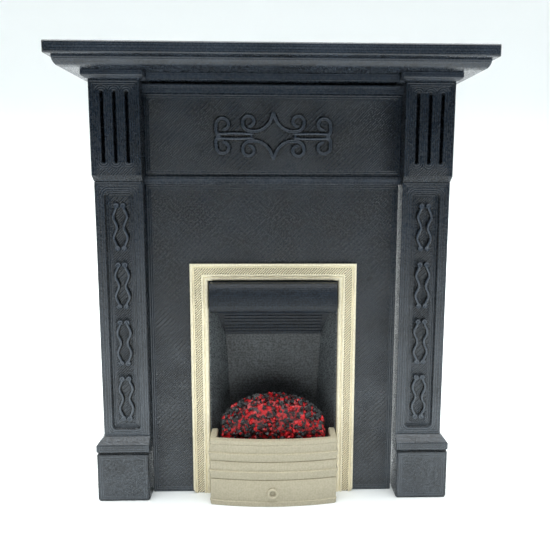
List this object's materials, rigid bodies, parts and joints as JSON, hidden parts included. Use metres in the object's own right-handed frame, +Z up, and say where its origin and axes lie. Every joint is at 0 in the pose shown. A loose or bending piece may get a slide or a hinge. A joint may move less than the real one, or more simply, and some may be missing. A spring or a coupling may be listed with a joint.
{
  "type": "miniature fireplace mantel",
  "caption": "Dolls' house fireplace: fluted mantel, slip-in breast panel, framed fire insert with canopy, bow-fronted basket and a lift-out coal bed.",
  "frame": {"origin": "middle of the overall box, on the floor", "axes": "+Z up; the fireplace faces -Y and its back is at +Y; +X to the right of someone who faces it"},
  "size_m": [0.0944, 0.0236, 0.104],
  "materials": {
    "mantel_black": "matte printed plastic with fine diagonal lines",
    "firebox_black": "matte printed plastic with fine level lines",
    "trim_champagne": "silky pale champagne printed plastic",
    "ember_red": "bright red paint",
    "coal_grey": "crushed black grit"
  },
  "bodies": {
    "surround": {"mantel_shelf": "mantel_black", "bed_moulding": "mantel_black", "left_abacus": "mantel_black", "right_abacus": "mantel_black", "left_capital": "mantel_black", "right_capital": "mantel_black", "left_shaft": "mantel_black", "right_shaft": "mantel_black", "left_appliques": "mantel_black", "right_appliques": "mantel_black", "left_plinth_cap": "mantel_black", "right_plinth_cap": "mantel_black", "left_plinth": "mantel_black", "right_plinth": "mantel_black", "frieze_fascia": "mantel_black", "frieze_cornice": "mantel_black", "frieze_panel": "mantel_black", "frieze_scrollwork": "mantel_black", "frieze_rail": "mantel_black", "breast_panel": "mantel_black"},
    "fire_insert": {"trim_frame": "trim_champagne", "canopy": "firebox_black", "left_cheek": "firebox_black", "right_cheek": "firebox_black", "fireback": "firebox_black", "throat_plate": "firebox_black", "firebox_floor": "firebox_black"},
    "basket": {"basket": "trim_champagne", "basket_knob": "trim_champagne"},
    "coal_bed": {"ember_bed": "ember_red", "coals": "coal_grey"}
  },
  "joints": [
    {"name": "insert_slide", "type": "slide", "parent": "surround", "child": "fire_insert", "axis": [0, -1, 0], "range_m": [0, 0.014]},
    {"name": "basket_slide", "type": "slide", "parent": "fire_insert", "child": "basket", "axis": [0, -1, 0], "range_m": [0, 0.008]},
    {"name": "coal_lift", "type": "slide", "parent": "basket", "child": "coal_bed", "axis": [0, 0, 1], "range_m": [0, 0.008]}
  ]
}
